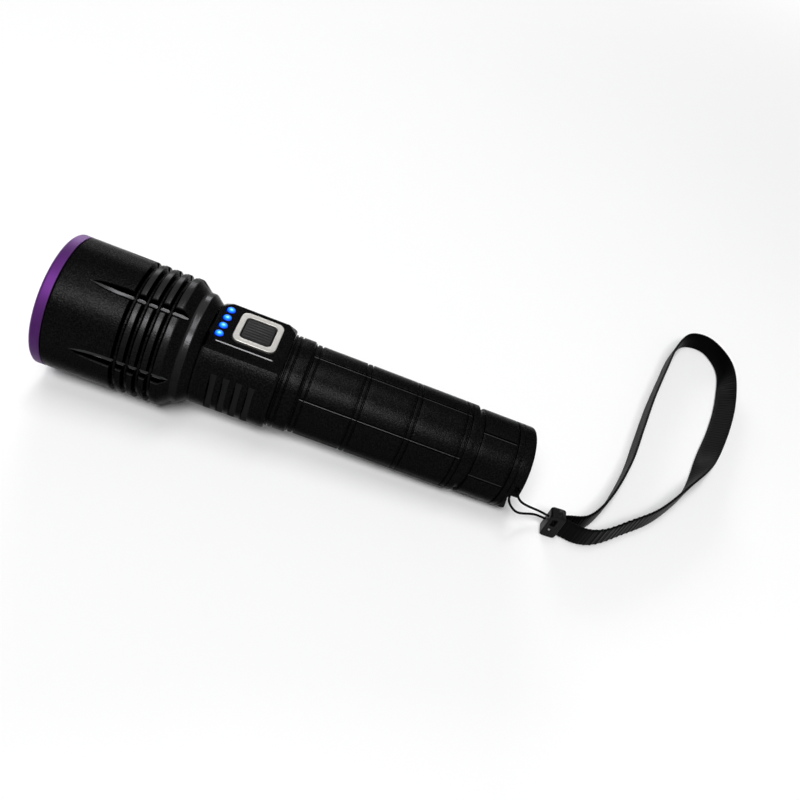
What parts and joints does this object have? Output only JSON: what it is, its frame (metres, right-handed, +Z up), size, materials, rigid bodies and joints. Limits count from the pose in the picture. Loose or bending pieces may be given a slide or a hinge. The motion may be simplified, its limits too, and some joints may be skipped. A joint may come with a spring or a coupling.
{
  "type": "uv curing lamp",
  "caption": "Handheld ultraviolet curing torch in black anodised aluminium with a purple bezel, ribbed head, side switch pad, grooved battery tube, screw tail cap and wrist strap.",
  "frame": {"origin": "on the surface that the torch lies on, under the middle of the torch without its strap", "axes": "+X along the torch from its lens to its tail, seen from above; +Y away from the viewer; +Z up, the way the switch faces. The torch axis itself drops 3.3 degrees towards the tail, because the head is wider."},
  "size_m": [0.2828, 0.1591, 0.048],
  "materials": {
    "purple_anodised": "satin purple anodised",
    "black_anodised": "bead-blasted black anodised",
    "lens_glass": "polished",
    "reflector_mirror": "polished metallised bowl",
    "rubber": "matt moulded",
    "white_nylon": "moulded",
    "emitter": "clear silicone dome",
    "copper_board": "copper core board",
    "bare_aluminium": "turned",
    "silver_frame": "satin plated",
    "button_plastic": "moulded, fine ribs",
    "blue_indicator": "lit blue",
    "circuit_board": "solder mask",
    "plated_steel": "nickel plated",
    "brass": "turned",
    "cell_wrap": "shrink-wrapped cell can",
    "nylon_webbing": "woven",
    "clip_plastic": "moulded"
  },
  "bodies": {
    "torch": {"bezel_ring": "purple_anodised", "head_shell": "black_anodised", "switch_housing": "black_anodised", "battery_tube": "black_anodised", "lens": "lens_glass", "reflector": "reflector_mirror", "lens_seal": "rubber", "neck_seal": "rubber", "tube_seal": "rubber", "emitter_centring_ring": "white_nylon", "switch_carrier": "white_nylon", "uv_emitter": "emitter", "emitter_board": "copper_board", "heat_sink": "bare_aluminium", "switch_frame": "silver_frame", "indicator_led_1": "blue_indicator", "indicator_led_2": "blue_indicator", "indicator_led_3": "blue_indicator", "indicator_led_4": "blue_indicator", "switch_board": "circuit_board", "driver_board": "circuit_board", "tact_switch": "plated_steel", "front_contact_spring": "plated_steel", "charge_socket": "plated_steel", "battery_cell": "cell_wrap"},
    "button": {"push_button": "button_plastic"},
    "cover": {"port_cover": "rubber"},
    "tail_float": {"tail_spring": "plated_steel"},
    "tail": {"tail_cap": "black_anodised", "tail_seal": "rubber", "tail_contact_plate": "circuit_board", "tail_retaining_ring": "brass", "lanyard_string": "nylon_webbing", "strap_clip": "clip_plastic", "clip_rivet": "plated_steel", "wrist_strap": "nylon_webbing"}
  },
  "joints": [
    {"name": "button_press", "type": "slide", "parent": "torch", "child": "button", "axis": [-0.0571, 0, -0.9984], "range_m": [0, 0.001], "stiffness_N_per_m": 800, "springref_m": -0.001},
    {"name": "cover_open", "type": "hinge", "parent": "torch", "child": "cover", "pos_m": [-0.0133, 0, 0.00394], "axis": [0, -1, 0], "range_deg": [0, 100], "stiffness_Nm_per_rad": 0.004, "springref_deg": -28.65},
    {"name": "tail_advance", "type": "slide", "parent": "torch", "child": "tail_float", "axis": [0.9984, 0, -0.0571], "range_m": [0, 0.0045]},
    {"name": "tail_unscrew", "type": "hinge", "parent": "tail_float", "child": "tail", "pos_m": [0.0653, 0, 0.01667], "axis": [0.9984, 0, -0.0571], "range_deg": [0, 1080]}
  ],
  "couplings": [
    {"joint": "tail_advance", "follows": "tail_unscrew", "m_per_rad": 0.00023873}
  ]
}
